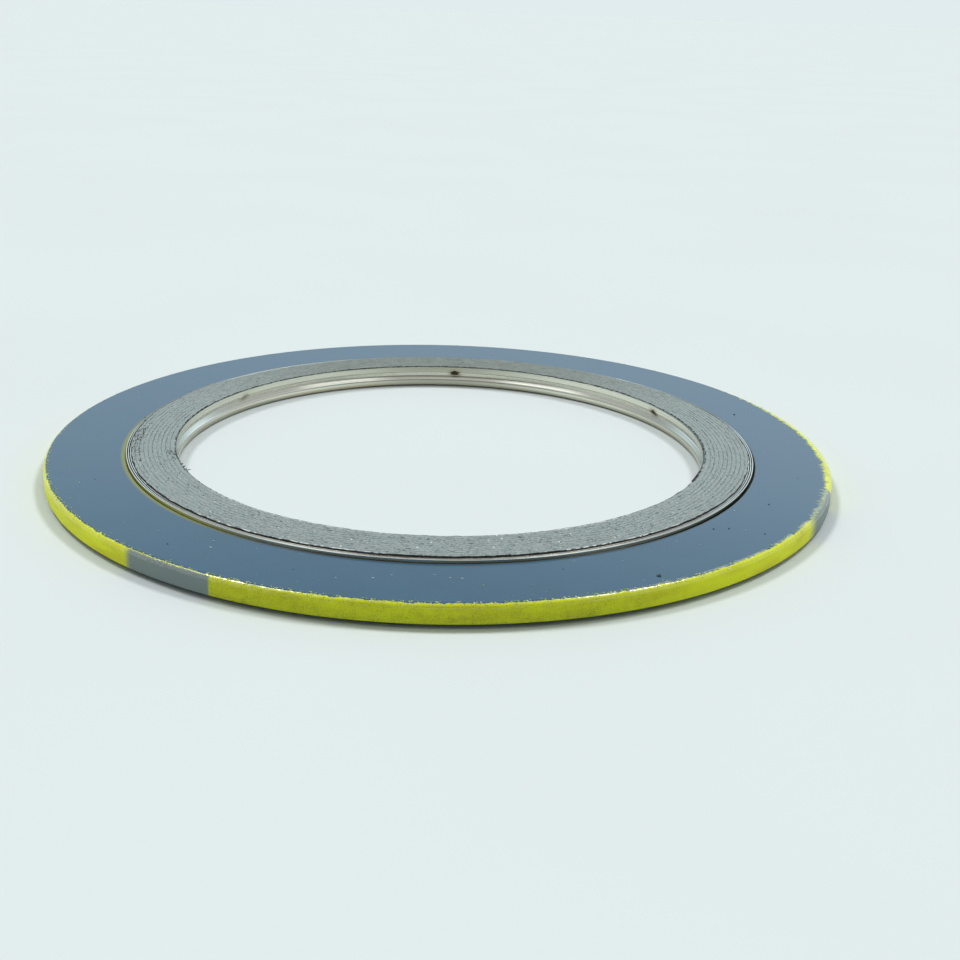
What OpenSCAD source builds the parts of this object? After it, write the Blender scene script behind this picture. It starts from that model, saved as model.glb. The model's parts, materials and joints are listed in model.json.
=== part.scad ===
// Spiral wound flange gasket. A painted steel guide ring carries a winding of
// V-section steel strip with graphite tape between its turns.
// Millimetres, +Z up, origin at the centre of the lower sealing face.

/* [Guide ring] */
// Outside diameter of the guide ring, which the flange bolts centre
ring_od = 149.4; // [138:0.1:170]
// Thickness of the guide ring
ring_t = 3.2; // [2.6:0.1:4]
// Rounding of the ring's outer edges
ring_outer_round = 0.45; // [0.1:0.05:0.8]
// Rounding of the ring's inner edges
ring_inner_round = 0.2; // [0.05:0.05:0.35]
// Gap between the winding and the ring's bore
ring_gap = 0.1; // [0.05:0.05:0.5]
// Clearance between the winding's outer bend and the ring's groove
groove_gap = 0.1; // [0.05:0.01:0.2]

/* [Steel strip] */
// Inside diameter of the winding
winding_id = 101.6; // [80:0.1:104]
// Thickness of the strip
strip_t = 0.2; // [0.15:0.01:0.25]
// Height of the strip, edge to edge
strip_h = 4.45; // [4:0.05:5]
// Depth of the V along the middle of the strip
vee_depth = 0.8; // [0.5:0.05:1]
// Height of the V, from bend to bend
vee_h = 1.9; // [1.5:0.1:2.3]
// Gap between the bare turns lining the bore, measured square to the V's flank
turn_gap = 0.023; // [0.01:0.001:0.05]
// Gap between the bare turns against the guide ring, which spring open a little
outer_turn_gap = 0.075; // [0.02:0.005:0.12]
// Bare turns lining the bore
inner_turns = 2; // [2:1:4]
// Bare turns against the guide ring
outer_turns = 3; // [2:1:4]
// Direction in which the strip starts, in degrees from +X
wind_start = 333.5; // [0:0.5:360]

/* [Graphite tape] */
// Thickness of the tape
tape_t = 0.58; // [0.45:0.01:0.7]
// Turns of tape
tape_turns = 10; // [6:1:12]
// Height by which the tape stands proud of each edge of the strip
tape_proud = 0.15; // [0.05:0.05:0.4]
// Gap between the tape and the strip, on each side
tape_gap = 0.01; // [0.005:0.005:0.03]

/* [Spot welds] */
// Welds round the bare turns, inside and outside alike
weld_count = 6; // [3:1:12]
// Diameter of a weld
weld_d = 1.1; // [0.6:0.1:1.1]
// Depth of the mark that the electrode leaves in the bore
weld_mark = 0.05; // [0.01:0.01:0.08]
// Direction of the first weld, in degrees from +X
weld_start = 27; // [0:1:60]

/* [Hidden] */
$fn = 180;

// Height of the middle of the V, where the ring sits
tape_h = strip_h + 2 * tape_proud;
mid_z = tape_h / 2;

// Slope of the V's flank from the axis
vee_half = vee_h / 2;
vee_slope = atan(vee_depth / vee_half);

// Growth of the radius in one turn: bare at the bore, with tape, and bare at the ring
bare_pitch = (strip_t + turn_gap) / cos(vee_slope);
taped_pitch = strip_t + tape_t + 2 * tape_gap;
outer_pitch = (strip_t + outer_turn_gap) / cos(vee_slope);

// The spiral is a chain of half turns, numbered from the bore outwards
tape_first = 2 * inner_turns - 1;
tape_last = tape_first + 2 * tape_turns - 2;
strip_last = tape_last + 2 * outer_turns + 1;

// Half turns grow by half a pitch each, so two centres in turn make the spiral
function pitch(k) = k <= tape_first ? bare_pitch : k <= tape_last + 2 ? taped_pitch : outer_pitch;
function growth(k) = pitch(k) / 2;
function is_odd(k) = k % 2 == 1;
function turn_r(k) = k == 0 ? winding_id / 2 : turn_r(k - 1) + growth(k);
function centre_x(k) =
    k == 0 ? -bare_pitch / 4 : centre_x(k - 1) + (is_odd(k) ? 1 : -1) * growth(k);

// Radius of the strip's inner face on half turn k, seen from the gasket's axis
function spiral_r(k, angle) = turn_r(k) + centre_x(k) * cos(angle - wind_start);

// Largest radius of the last turn's inner face, and the bore of the ring around it
wound_r = turn_r(strip_last) + abs(centre_x(strip_last));
ring_bore_r = wound_r + strip_t + ring_gap;

// Section of a V-shaped face at distance d outside the strip's inner face, top to bottom
function vee_face(x, d, half_h) =
    let (bend = vee_half + vee_half * d * (1 / cos(vee_slope) - 1) / vee_depth)
    [
        [x + d, half_h],
        [x + d, bend],
        [x + vee_depth + d / cos(vee_slope), 0],
        [x + d, -bend],
        [x + d, -half_h]
    ];
function backwards(points) = [for (i = [len(points) - 1 : -1 : 0]) points[i]];

// Solid section between two V-shaped faces
module between_faces(inner, outer)
    polygon(concat(inner, backwards(outer)));

module strip_section()
    between_faces(vee_face(0, 0, strip_h / 2), vee_face(0, strip_t, strip_h / 2));

module tape_section()
    between_faces(vee_face(0, strip_t + tape_gap, tape_h / 2),
                  vee_face(taped_pitch, -tape_gap, tape_h / 2));

// Half turn k of the spiral, with a section drawn from the strip's inner face
module half_turn(k)
    rotate([0, 0, wind_start + (is_odd(k) ? 180 : 0)])
        translate([(is_odd(k) ? -1 : 1) * centre_x(k), 0, mid_z])
            rotate_extrude(angle = 180)
                translate([turn_r(k), 0])
                    children();

// Pin square to the upper flank of half turn k, from one depth below its inner face to another
module flank_pin(k, angle, from, to)
    rotate([0, 0, angle])
        translate([spiral_r(k, angle) + vee_depth / 2, 0, mid_z + vee_half / 2])
            rotate([0, 90 - vee_slope, 0])
                translate([0, 0, from])
                    cylinder(d = weld_d, h = to - from);

// Weld from the middle of half turn k's strip to the middle of the next turn's, across the gap between them
module weld(k, angle, gap)
    flank_pin(k, angle, strip_t / 2, strip_t * 3 / 2 + gap);

weld_angles = [for (i = [0 : weld_count - 1]) weld_start + i * 360 / weld_count];

// 0 for a direction on the first half of a turn, 1 for one on the second half
function turn_half(angle) = (angle - wind_start + 720) % 360 < 180 ? 0 : 1;

// What a rounding takes off a corner of the ring's section, where the ring lies towards inward
module corner_waste(r, inward, side, round) {
    size = 2 * round;
    translate([r + inward * round, side * (ring_t / 2 - round)])
        difference() {
            translate([inward < 0 ? 0 : -size, side > 0 ? 0 : -size])
                square(size);
            circle(r = round);
        }
}

// V-groove that clears the winding's last turn
module groove_section()
    polygon(concat(vee_face(wound_r, strip_t + groove_gap, ring_t),
                   [[wound_r, -ring_t], [wound_r, ring_t]]));

// Steel ring with a V-groove in its bore
module guide_ring()
    color([0.37, 0.47, 0.56])
        translate([0, 0, mid_z])
            rotate_extrude()
                difference() {
                    translate([ring_bore_r, -ring_t / 2])
                        square([ring_od / 2 - ring_bore_r, ring_t]);
                    for (side = [-1, 1]) {
                        corner_waste(ring_bore_r, 1, side, ring_inner_round);
                        corner_waste(ring_od / 2, -1, side, ring_outer_round);
                    }
                    groove_section();
                }

// One steel strip wound from the bore to the ring, with its ends welded to the turns beside them
module winding_strip()
    color([0.74, 0.73, 0.69])
        difference() {
            union() {
                for (k = [0 : strip_last])
                    half_turn(k) strip_section();
                for (angle = weld_angles) {
                    weld(turn_half(angle), angle, turn_gap);
                    weld(strip_last - 2 - turn_half(angle), angle, outer_turn_gap);
                }
            }
            for (angle = weld_angles)
                flank_pin(turn_half(angle), angle, -weld_d, weld_mark);
        }

// One graphite tape wound between the turns of the strip
module graphite_filler()
    color([0.32, 0.35, 0.35])
        for (k = [tape_first : tape_last])
            half_turn(k) tape_section();

guide_ring();
winding_strip();
graphite_filler();
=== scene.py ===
# %% [markdown]
# # A spiral wound flange gasket
#
# The gasket seals a bolted pipe joint. It has three pieces: a flat steel guide ring with painted faces and
# a sprayed rim, a stainless strip with a V pressed along it that is wound up like a clock spring, and a
# graphite tape that is wound in between the turns of the strip.
#
# The CAD model fixes every size and place. This lesson gives each of its three solids a finer mesh of the
# same form, with the rounded bends, squeezed edges and crumbs of the real thing, and then builds the
# finishes from shader nodes. All lengths are in millimetres until the moment a mesh is made.

# %% Load the frame
import json
import math

import bmesh
import bpy
import numpy as np
from mathutils import Matrix, Vector


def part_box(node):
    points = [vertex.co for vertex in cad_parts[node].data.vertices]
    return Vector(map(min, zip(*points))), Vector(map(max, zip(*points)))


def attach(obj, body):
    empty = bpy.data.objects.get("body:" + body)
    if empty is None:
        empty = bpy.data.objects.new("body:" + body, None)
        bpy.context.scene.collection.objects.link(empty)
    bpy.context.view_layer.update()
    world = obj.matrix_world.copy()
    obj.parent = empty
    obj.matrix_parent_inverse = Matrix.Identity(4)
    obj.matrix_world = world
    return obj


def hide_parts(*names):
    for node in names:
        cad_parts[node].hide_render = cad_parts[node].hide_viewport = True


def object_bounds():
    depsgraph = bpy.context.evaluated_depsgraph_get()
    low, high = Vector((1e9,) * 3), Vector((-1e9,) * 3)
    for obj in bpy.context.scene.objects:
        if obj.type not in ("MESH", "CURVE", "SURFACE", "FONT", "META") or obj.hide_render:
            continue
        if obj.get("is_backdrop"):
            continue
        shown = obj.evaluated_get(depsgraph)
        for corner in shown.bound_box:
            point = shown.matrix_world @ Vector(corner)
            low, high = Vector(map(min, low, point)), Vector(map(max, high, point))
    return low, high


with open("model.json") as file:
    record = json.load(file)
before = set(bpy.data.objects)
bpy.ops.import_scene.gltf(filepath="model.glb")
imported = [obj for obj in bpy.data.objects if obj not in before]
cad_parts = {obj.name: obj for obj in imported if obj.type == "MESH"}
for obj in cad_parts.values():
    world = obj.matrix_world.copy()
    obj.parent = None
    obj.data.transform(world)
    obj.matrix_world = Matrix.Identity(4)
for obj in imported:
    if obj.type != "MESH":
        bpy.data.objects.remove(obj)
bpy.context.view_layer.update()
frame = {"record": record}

MM = 0.001

# %% [markdown]
# ## Camera
#
# The gasket lies flat and is seen from low in front, about 20 degrees above the table. A camera in Blender
# looks along its own -Z axis, so its matrix is filled with three directions: to the right, up, and
# backwards. The small roll makes the far edge of the ring lean as it does in a hand-held picture.

# %% Camera
CAMERA_PLACE = Vector((0.0, -237.79, 83.33)) * MM
CAMERA_YAW, CAMERA_PITCH, CAMERA_ROLL = 0.032594, 0.354182, 0.032496

forward = Vector((
    math.sin(CAMERA_YAW) * math.cos(CAMERA_PITCH),
    math.cos(CAMERA_YAW) * math.cos(CAMERA_PITCH),
    -math.sin(CAMERA_PITCH),
))
level_right = forward.cross(Vector((0, 0, 1))).normalized()
level_up = level_right.cross(forward)
right = math.cos(CAMERA_ROLL) * level_right + math.sin(CAMERA_ROLL) * level_up
up = math.cos(CAMERA_ROLL) * level_up - math.sin(CAMERA_ROLL) * level_right

camera_data = bpy.data.cameras.new("camera")
camera_data.sensor_width = 36.0
camera_data.lens = 47.67
camera_data.clip_start = 0.01
camera = bpy.data.objects.new("camera", camera_data)
camera.matrix_world = Matrix((
    (right.x, up.x, -forward.x, CAMERA_PLACE.x),
    (right.y, up.y, -forward.y, CAMERA_PLACE.y),
    (right.z, up.z, -forward.z, CAMERA_PLACE.z),
    (0, 0, 0, 1),
))
bpy.context.scene.collection.objects.link(camera)
bpy.context.scene.camera = camera
print("camera looks down by", round(math.degrees(CAMERA_PITCH), 1), "degrees")

# %% [markdown]
# ## The winding as numbers
#
# A true spiral is awkward to machine and to draw. The CAD model makes it from half circles whose centres
# step from side to side, and the meshes here follow the same half circles, so that they land on the solids.
# Half turns are numbered from the bore outwards. Turns without tape lie close together, and turns with tape
# a tape's thickness apart.

# %% Sizes of the winding
STRIP_T = 0.2
VEE_DEPTH = 0.8
VEE_HALF = 0.95
TURN_GAP, OUTER_TURN_GAP = 0.023, 0.075
TAPE_T = 0.58
TAPE_GAP = 0.01
WIND_START = 333.5
TAPE_FIRST, TAPE_LAST, STRIP_LAST = 3, 21, 28

mounts = {mount["name"]: mount for mount in frame["record"]["mounts"]}
BORE_R = mounts["bore"]["dims"]["r_mm"]
RIM_R = mounts["ring_rim"]["dims"]["r_mm"]
strip_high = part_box("winding_strip")[1].z / MM
tape_low, tape_high = (corner.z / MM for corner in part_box("graphite_filler"))
MID_Z = (tape_low + tape_high) / 2
STRIP_TOP = strip_high - MID_Z
TAPE_TOP = tape_high - MID_Z
VEE_SLOPE = math.atan2(VEE_DEPTH, VEE_HALF)
BARE_PITCH = (STRIP_T + TURN_GAP) / math.cos(VEE_SLOPE)
TAPED_PITCH = STRIP_T + TAPE_T + 2 * TAPE_GAP
OUTER_PITCH = (STRIP_T + OUTER_TURN_GAP) / math.cos(VEE_SLOPE)

TURN_R, CENTRE_X = [BORE_R], [-BARE_PITCH / 4]
for k in range(1, STRIP_LAST + 1):
    pitch = BARE_PITCH if k <= TAPE_FIRST else TAPED_PITCH if k <= TAPE_LAST + 2 else OUTER_PITCH
    growth = pitch / 2
    TURN_R.append(TURN_R[-1] + growth)
    CENTRE_X.append(CENTRE_X[-1] + (growth if k % 2 else -growth))
TURN_R, CENTRE_X = np.array(TURN_R), np.array(CENTRE_X)
WOUND_R = TURN_R[-1] + abs(CENTRE_X[-1])
MEAN_R = 55.0
print(f"winding: {STRIP_LAST + 1} half turns, radius {BORE_R} to {WOUND_R + STRIP_T:.2f} mm")

# %% [markdown]
# ## Lofting a mesh
#
# All three pieces are one outline carried along a path, which is called a sweep or a loft. Blender's curve
# bevel could sweep a fixed outline, but here the outline changes along the way, with frayed edges and
# pressed marks. So the points are laid out in an array, one row for each outline, and each pair of rows is
# joined by a band of four-sided faces.

# %% Loft
def loft(name, rows, closed, **marks):
    """Mesh through rows of points in mm. Each row is one outline, anticlockwise when +X is outwards and +Z
    is up. A mark is a number at each point, which shader nodes can read by its name."""
    count, size, _ = rows.shape
    number = np.arange(count * size).reshape(count, size)
    here, there = (number, np.roll(number, -1, 0)) if closed else (number[:-1], number[1:])
    bands = np.stack([here, there, np.roll(there, -1, 1), np.roll(here, -1, 1)], -1)
    bands = bands.reshape(-1, 4).tolist()
    if not closed:
        bands += [number[0].tolist(), number[-1][::-1].tolist()]  # caps at both ends
    mesh = bpy.data.meshes.new(name)
    mesh.from_pydata((rows.reshape(-1, 3) * MM).tolist(), [], bands)
    mesh.shade_smooth()
    mesh.set_sharp_from_angle(angle=math.radians(38))
    for label, values in marks.items():
        values = np.broadcast_to(values, (count, size)).astype(np.float32)
        mesh.attributes.new(label, "FLOAT", "POINT").data.foreach_set("value", values.ravel())
    piece = bpy.data.objects.new(name, mesh)
    bpy.context.scene.collection.objects.link(piece)
    mesh.calc_loop_triangles()
    print(f"{name}: {count} outlines of {size} points, {len(mesh.loop_triangles)} triangles")
    return piece


def wander(along, step, seed, lap=None):
    """Smooth random line from -1 to 1, with a swing about every step mm. With a lap it closes on itself."""
    swings = max(3, round(lap / step)) if lap else int(along.max() / step) + 2
    knots = np.random.default_rng(seed).uniform(-1, 1, swings + 1)
    knots[-1] = knots[0] if lap else knots[-1]
    place = along / lap * swings if lap else along / step
    low = np.minimum(place.astype(int), swings - 1)
    blend = np.clip(place - low, 0, 1)
    blend = blend * blend * (3 - 2 * blend)
    return knots[low] * (1 - blend) + knots[low + 1] * blend


# %% [markdown]
# ## Guide ring
#
# The real ring is punched from plate, which rolls its upper edge round and leaves the lower one nearly
# sharp, and a V-groove is turned into its bore to hold the winding. A lathe outline with arcs at the
# corners gives that form. The sprayed rim isn't perfectly even, so the outer points are pulled in by a few
# hundredths of a millimetre here and there, which breaks up its highlights.
#
# The strip ends on the left, where its last turn steps away from the ring by its own thickness. Paint has
# run into the wider gap there and bridges most of it, so the inner edge of the ring reaches a little
# further in from there to the front.

# %% Guide ring outline
UPPER_ROUND, LOWER_ROUND, INNER_ROUND = 0.9, 0.15, 0.2
RING_GAP, GROOVE_GAP = 0.1, 0.1
ring_low, ring_high = (corner.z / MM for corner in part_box("guide_ring"))
RING_BORE_R = WOUND_R + STRIP_T + RING_GAP


def corner_arc(r, z, radius, start, steps):
    """Quarter circle round the point (r, z), anticlockwise from a start angle in degrees."""
    return [(r + radius * math.cos(math.radians(a)), z + radius * math.sin(math.radians(a)))
            for a in np.linspace(start, start + 90, steps)]


groove_face = STRIP_T + GROOVE_GAP
groove_apex_r = WOUND_R + VEE_DEPTH + groove_face / math.cos(VEE_SLOPE)
groove_mouth = (groove_apex_r - RING_BORE_R) / math.tan(VEE_SLOPE)
face_radii = [61.4, 62.5, 64.5, 67.0, 69.5, 72.0, 73.2, 73.7]

ring_outline = corner_arc(RING_BORE_R + INNER_ROUND, ring_low + INNER_ROUND, INNER_ROUND, 180, 4)
ring_outline += [(r, ring_low) for r in face_radii]
ring_outline += corner_arc(RIM_R - LOWER_ROUND, ring_low + LOWER_ROUND, LOWER_ROUND, 270, 5)
ring_outline += [(RIM_R, z) for z in np.linspace(ring_low + 0.5, ring_high - 1.2, 5)]
ring_outline += corner_arc(RIM_R - UPPER_ROUND, ring_high - UPPER_ROUND, UPPER_ROUND, 0, 12)
ring_outline += [(r, ring_high) for r in reversed(face_radii)]
ring_outline += corner_arc(RING_BORE_R + INNER_ROUND, ring_high - INNER_ROUND, INNER_ROUND, 90, 6)
ring_outline += [
    (RING_BORE_R, MID_Z + groove_mouth), (groove_apex_r, MID_Z), (RING_BORE_R, MID_Z - groove_mouth)]
ring_outline = np.array(ring_outline)
print("ring outline:", len(ring_outline), "points")

# %% Bead of paint
RING_STEPS = 1440
ring_angle = np.radians(np.arange(RING_STEPS) * 360 / RING_STEPS)
rim_length = ring_angle * RIM_R
rim_lap = 2 * math.pi * RIM_R

# clearance to the strip's last turn, most of which the bead of paint takes up
from_start = (np.degrees(ring_angle) - WIND_START) % 360
last_k = np.where(from_start < 180, STRIP_LAST, STRIP_LAST - 1)
strip_reach = TURN_R[last_k] + CENTRE_X[last_k] * np.cos(np.radians(from_start)) + STRIP_T
BEAD_FROM, BEAD_TO, BEAD_FADE_IN, BEAD_FADE_OUT = 155, 325, 12, 30
BEAD_GAP, BEAD_RIPPLE = 0.06, 0.015
along_bead = np.degrees(ring_angle)
bead_start = np.clip((along_bead - BEAD_FROM) / BEAD_FADE_IN, 0, 1)
bead_end = np.clip((BEAD_TO - along_bead) / BEAD_FADE_OUT, 0, 1)
bead_window = bead_start * bead_end
bead_edge = RING_BORE_R - strip_reach - BEAD_GAP + BEAD_RIPPLE * wander(rim_length, 2.0, 9, rim_lap)
bead = bead_window * np.maximum(bead_edge, 0)
print("bead of paint: up to", round(float(bead.max()), 2), "mm")

# %% Guide ring mesh
FINE_DENT, BROAD_DENT, RIM_PULL, DENT_BAND = 0.008, 0.012, 0.021, 0.8
broad_dents = BROAD_DENT * wander(rim_length, 4.0, 7, rim_lap)
ring_rows = np.zeros((RING_STEPS, len(ring_outline), 3))
for i, (r, z) in enumerate(ring_outline):
    near_rim = np.clip((r - RIM_R + DENT_BAND) / DENT_BAND, 0, 1)
    uneven = FINE_DENT * wander(rim_length, 0.9, 100 + i, rim_lap) + broad_dents
    beside_groove = abs(z - MID_Z) > groove_mouth + 0.05
    at_bore = np.clip((RING_BORE_R + INNER_ROUND - r) / INNER_ROUND, 0, 1) if beside_groove else 0
    pulled = r - near_rim * (RIM_PULL + uneven) - at_bore * bead
    ring_rows[:, i, 0] = pulled * np.cos(ring_angle)
    ring_rows[:, i, 1] = pulled * np.sin(ring_angle)
    ring_rows[:, i, 2] = z
guide_ring = loft("guide_ring_painted", ring_rows, closed=True)
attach(guide_ring, "root")
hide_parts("guide_ring")

# %% [markdown]
# ## Steel strip
#
# Rolls press the V into the strip before it is wound, and rolled bends are never sharp. The outline
# therefore has small arcs at its two bends and at the point of the V. The inner and outer faces are the
# same line at two distances, so that the strip keeps its thickness round the bends. Two points close to the
# ends of the lower flank keep it flat in between, because smooth shading would spread the arcs over the
# whole flank and blur what it mirrors.
#
# At the six spot welds an electrode has pressed a shallow round mark into the wall of the bore. Rows of
# points stand closer together there, and points of the upper flank inside the mark are pushed in.

# %% Line of the V
BEND_ROUND, APEX_ROUND = 0.3, 0.15


def vee_line(d, flank_points=0, low_points=0, bend_points=3, apex_points=5):
    """V-shaped line at distance d outside the strip's inner face, from its top land to its bottom land."""
    centre = np.array([BEND_ROUND, VEE_HALF + BEND_ROUND * math.tan(VEE_SLOPE / 2)])
    turn = np.linspace(math.pi, math.pi + VEE_SLOPE, bend_points)
    bend = centre + (BEND_ROUND - d) * np.stack([np.cos(turn), np.sin(turn)], -1)
    tip = np.linspace(VEE_SLOPE, -VEE_SLOPE, apex_points)
    tip_x = VEE_DEPTH - APEX_ROUND / math.cos(VEE_SLOPE)
    apex = np.stack([tip_x + (APEX_ROUND + d) * np.cos(tip), (APEX_ROUND + d) * np.sin(tip)], -1)
    share = np.linspace(0, 1, flank_points + 2)[1:-1, None]
    flank = bend[-1] * (1 - share) + apex[0] * share
    low_bend = bend[::-1] * (1, -1)
    low_share = np.array([0.1, 0.9])[:low_points, None]
    low_flank = apex[-1] * (1 - low_share) + low_bend[0] * low_share
    return np.vstack([bend, flank, apex, low_flank, low_bend])


strip_inner = vee_line(0.0, flank_points=7, low_points=2)
strip_outer = vee_line(STRIP_T, bend_points=2, apex_points=3)
EDGE = 0.05
strip_outline = np.vstack([
    [(STRIP_T - EDGE, -STRIP_TOP), (STRIP_T, EDGE - STRIP_TOP)],
    strip_outer[::-1],
    [(STRIP_T, STRIP_TOP - EDGE), (STRIP_T - EDGE, STRIP_TOP), (EDGE, STRIP_TOP), (0, STRIP_TOP - EDGE)],
    strip_inner,
    [(0, EDGE - STRIP_TOP), (EDGE, -STRIP_TOP)],
])
print("strip outline:", len(strip_outline), "points")

# %% Rows along the spiral
WELD_ANGLES = [27 + 60 * i for i in range(6)]
print("spot welds at", WELD_ANGLES, "degrees")


def spiral_rows(first, last, steps, extra=()):
    """Half turn number and angle within it, for rows from one half turn to another."""
    number, angle = [], []
    for k in range(first, last + 1):
        local = np.arange(steps) * 180 / steps
        if k < 2:
            local = np.unique(np.concatenate([local, extra]).round(3))
        if k == last:
            local = np.append(local, 180.0)
        number.append(np.full(len(local), k))
        angle.append(local)
    return np.concatenate(number), np.concatenate(angle)


def on_spiral(number, angle, x, z):
    """Points at distance x outside the strip's inner face and height z above the middle of the V."""
    direction = np.radians(WIND_START + 180 * number + angle)[:, None]
    start = math.radians(WIND_START)
    radius = TURN_R[number][:, None] + x
    centre = CENTRE_X[number][:, None]
    return np.stack([
        centre * math.cos(start) + radius * np.cos(direction),
        centre * math.sin(start) + radius * np.sin(direction),
        MID_Z + z,
    ], -1)


# %% Edges of the strip
weld_local = [(a - WIND_START) % 180 for a in WELD_ANGLES[:3]]
close_rows = np.concatenate([np.linspace(a - 0.7, a + 0.7, 11) for a in weld_local])
strip_k, strip_a = spiral_rows(0, STRIP_LAST, 90, close_rows)
turn = strip_k + strip_a / 180
along = turn * math.pi * MEAN_R

x = np.tile(strip_outline[:, 0], (len(strip_k), 1))
z = np.tile(strip_outline[:, 1], (len(strip_k), 1))

# the edges of the lands stray sideways and vary in height, and those of the bare turns lie a little lower
EDGE_BAND = 0.3
at_top, at_bottom = z > STRIP_TOP - EDGE_BAND, z < EDGE_BAND - STRIP_TOP
BROAD_SWAY, FINE_SWAY = 0.03, 0.008
sway = wander(along, 11, 11) * BROAD_SWAY + wander(along, 2.3, 12) * FINE_SWAY
x += np.where(at_top | at_bottom, sway[:, None], 0)
OUTER_DROP, INNER_DROP = 0.13, 0.05
OUTER_BARE, INNER_BARE, DROP_FADE = 22.7, 4.75, 0.3
outer_drop = OUTER_DROP * np.clip((turn - OUTER_BARE) / DROP_FADE, 0, 1)
inner_drop = INNER_DROP * np.clip((INNER_BARE - turn) / DROP_FADE, 0, 1)
drop = outer_drop + inner_drop
EDGE_WEAR, EDGE_WAVE = 0.03, 0.02
worn = EDGE_WEAR + EDGE_WAVE * wander(along, 14, 13) + drop
z -= np.where(at_top, worn[:, None], 0)
z += np.where(at_bottom, worn[:, None], 0)
print(f"strip edges: worn by {worn.min():.3f} to {worn.max():.3f} mm")

# %% Weld marks in the bore
WELD_R, WELD_MARK = 0.55, 0.05
MARK_Z = VEE_HALF / 2
for a in weld_local:
    across = (strip_a - a)[:, None] * math.pi / 180 * BORE_R
    up_flank = (z - MARK_Z) / math.cos(VEE_SLOPE)
    reach = np.sqrt(across ** 2 + up_flank ** 2) / WELD_R
    inner = np.abs(x - (VEE_DEPTH - z * VEE_DEPTH / VEE_HALF)) < 0.06
    pressed = (reach < 1) & inner & (strip_k[:, None] < 2)
    depth = WELD_MARK * np.clip((1 - reach) * 4, 0, 1)
    x += np.where(pressed, depth * math.cos(VEE_SLOPE), 0)
    z += np.where(pressed, depth * math.sin(VEE_SLOPE), 0)
    print("points pressed in at", round(a, 1), "degrees:", int(pressed.sum()))

# %% Steel strip mesh
# marks: faces that look into a gap between turns, the rolled edges, and the number of the half turn
outer_side = np.arange(len(strip_outline)) < len(strip_outer) + 4
in_gap = np.where(outer_side, strip_k[:, None] <= STRIP_LAST - 2, strip_k[:, None] >= 2)
height = abs(strip_outline[:, 1])
on_edge = np.where(height > STRIP_TOP - EDGE / 2, 1.0, np.where(height > STRIP_TOP - 1.5 * EDGE, 0.5, 0.0))
winding_strip = loft("winding_strip_wound", on_spiral(strip_k, strip_a, x, z), closed=False,
                     in_gap=in_gap, on_edge=on_edge, half_turn=strip_k[:, None])
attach(winding_strip, "root")
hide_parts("winding_strip")

# %% [markdown]
# ## Graphite tape
#
# Flexible graphite is pressed flake, as soft as card. It is wound in a little wider than the steel, so its
# edge is squeezed out over the edges of the strip and hides most of them. The outline has a lip on each
# side of the crown, and the lips reach further or less far along the tape, which gives the frayed rings of
# the real face.

# %% Rows along the tape
TAIL = 100
tape_k, tape_a = spiral_rows(TAPE_FIRST - 1, TAPE_LAST + 1, 184)
taped = ~((tape_k < TAPE_FIRST) & (tape_a < 180 - TAIL)) & ~((tape_k > TAPE_LAST) & (tape_a > TAIL))
tape_k, tape_a = tape_k[taped], tape_a[taped]
along = (tape_k + tape_a / 180) * math.pi * MEAN_R
direction = np.radians(180 * tape_k + tape_a)
face_here, face_next = (TURN_R[k] + CENTRE_X[k] * np.cos(direction) for k in (tape_k, tape_k + 2))
room = face_next - face_here
side_in, side_out = np.full(len(tape_k), STRIP_T + TAPE_GAP), room - TAPE_GAP
first_turn = (tape_k <= TAPE_FIRST) | ((tape_k == TAPE_FIRST + 1) & (tape_a < 180 - TAIL))
last_turn = (tape_k >= TAPE_LAST) | ((tape_k == TAPE_LAST - 1) & (tape_a > TAIL))
print("tape:", len(tape_k), "rows, thinnest", round(float((side_out - side_in).min()), 3), "mm")

# %% Squeezed lips of the tape
# inner turns nearly meet over the steel, and open in short cracks, fewest of them in front
LIP_REACH, LIP_RIPPLE, CRACK_PULL = 0.098, 0.008, 0.06
front = np.clip((-np.sin(np.radians(WIND_START) + direction) - 0.45) / 0.4, 0, 1)


def lip(seed):
    """How far the squeezed edge reaches over the steel beside it."""
    cracks = np.clip(wander(along, 1.6, seed) * 3 - 1.2 - 0.7 * front, 0, 1)
    return LIP_REACH + LIP_RIPPLE * wander(along, 3.1, seed + 1) - CRACK_PULL * cracks


# at the bore the edge is smeared over the bare turns; a lip below zero leaves a crack along the outer ones
lip_in, lip_out = lip(21), lip(23)
SMEAR_EDGE, SMEAR_FRAY = BORE_R + STRIP_T - 0.02, 0.13
over_turns = face_here + side_in - SMEAR_EDGE - SMEAR_FRAY * (1 + wander(along, 1.0, 25))
lip_in = np.where(first_turn, np.maximum(over_turns, 0.02), lip_in)
lip_out = np.where(last_turn, np.clip(0.2 * wander(along, 1.1, 26) - 0.03, -0.2, 0.12), lip_out)
print(f"lips: up to {lip_in.max():.2f} mm inwards and {lip_out.max():.2f} mm outwards")

# %% Walls and crown of the tape
bend_in, apex_in = 1.027, VEE_DEPTH + (STRIP_T + TAPE_GAP) / math.cos(VEE_SLOPE)
bend_out, apex_out = 0.946, VEE_DEPTH - 0.053
wall_top, lip_under = STRIP_TOP - 0.02, STRIP_TOP + 0.006
CRACK = 0.45
wall_in, wall_out = (np.where(lip < 0, wall_top - CRACK, wall_top) for lip in (lip_in, lip_out))
under_in, under_out = (np.where(lip < 0, lip_under - CRACK, lip_under) for lip in (lip_in, lip_out))
under_in = np.where(first_turn, STRIP_TOP - INNER_DROP - 0.003, under_in)
CROWN_SINK, CROWN_ROUND = 0.034, 0.05
FINE_ROUGH, BROAD_ROUGH = 0.018, 0.014


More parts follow.
